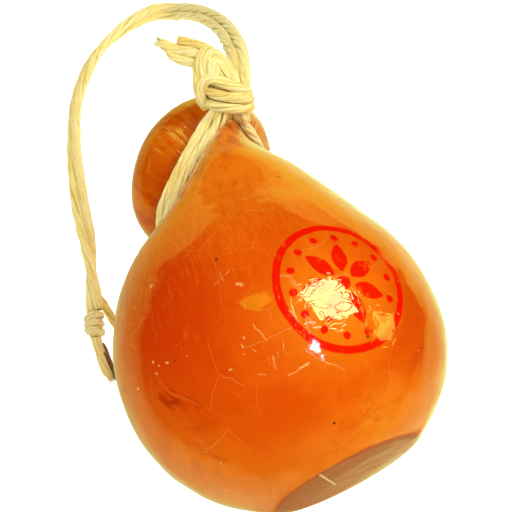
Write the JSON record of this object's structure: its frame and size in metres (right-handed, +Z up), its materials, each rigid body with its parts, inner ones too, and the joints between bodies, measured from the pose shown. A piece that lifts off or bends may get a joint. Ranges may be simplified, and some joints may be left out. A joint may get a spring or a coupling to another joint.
{
  "type": "provolone cheese",
  "caption": "Whole pear-shaped cheese with a waxed rind, lying on its side, with a flat base, a bent-over round head and a twine hanging loop knotted round its neck.",
  "frame": {"origin": "on the ground, under the middle of the cheese and its knot, the free loop of twine left out", "axes": "+Z up, +Y along the cheese from its flat base to its head, +X across it"},
  "size_m": [0.1288, 0.2642, 0.1226],
  "materials": {
    "rind": "glossy orange wax over a cheese rind",
    "twine": "pale twisted plant-fibre twine"
  },
  "bodies": {
    "root": {"cheese": "rind", "noose_strand_shoulder_side": "twine", "noose_strand_head_side": "twine", "neck_knot": "twine", "knot_tail_long": "twine", "knot_tail_short": "twine", "hanging_loop": "twine", "end_knot": "twine", "end_tail_cut": "twine", "end_tail_tucked": "twine"}
  },
  "joints": []
}
